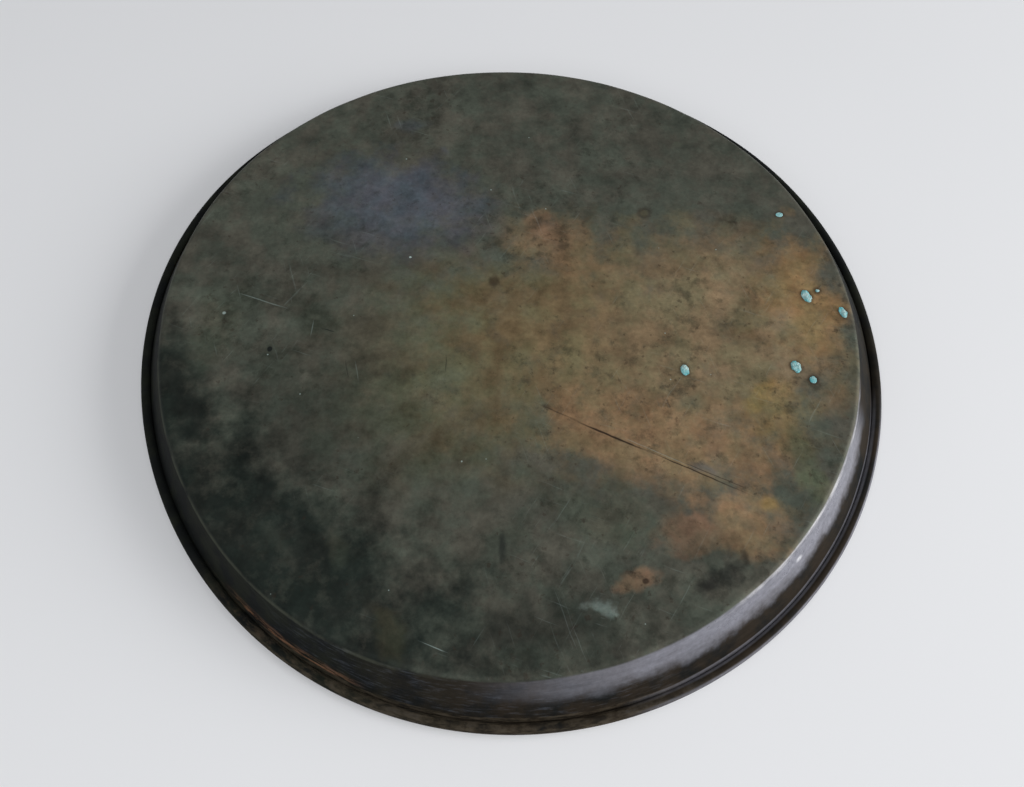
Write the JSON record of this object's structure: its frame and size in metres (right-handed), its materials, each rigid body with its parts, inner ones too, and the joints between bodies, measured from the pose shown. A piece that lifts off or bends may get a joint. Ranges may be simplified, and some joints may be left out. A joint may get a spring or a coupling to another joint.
{
  "type": "round copper baking tray",
  "caption": "Large round flat-bottomed baking tray of tinned copper with a low sloping wall and a rim rolled round an iron wire, standing upside down.",
  "frame": {"origin": "centre of the circle that the rim rests on, with the tray upside down as it is stored", "axes": "+Z along the tray's own axis, out of the outer face of the base; X and Y lie in the plane that the rim rests on and are interchangeable"},
  "size_m": [0.4299, 0.43, 0.026],
  "materials": {
    "copper_patina": "aged copper, brown to green-black patina, half matt, with bare coppery wear and spots of verdigris",
    "iron_wire": "dark rusted iron wire",
    "wiped_tin": "dull grey hand-wiped tin, streaked and worn through to copper in places"
  },
  "bodies": {
    "root": {"copper_pan": "copper_patina", "rim_wire": "iron_wire", "tin_lining": "wiped_tin"}
  },
  "joints": []
}
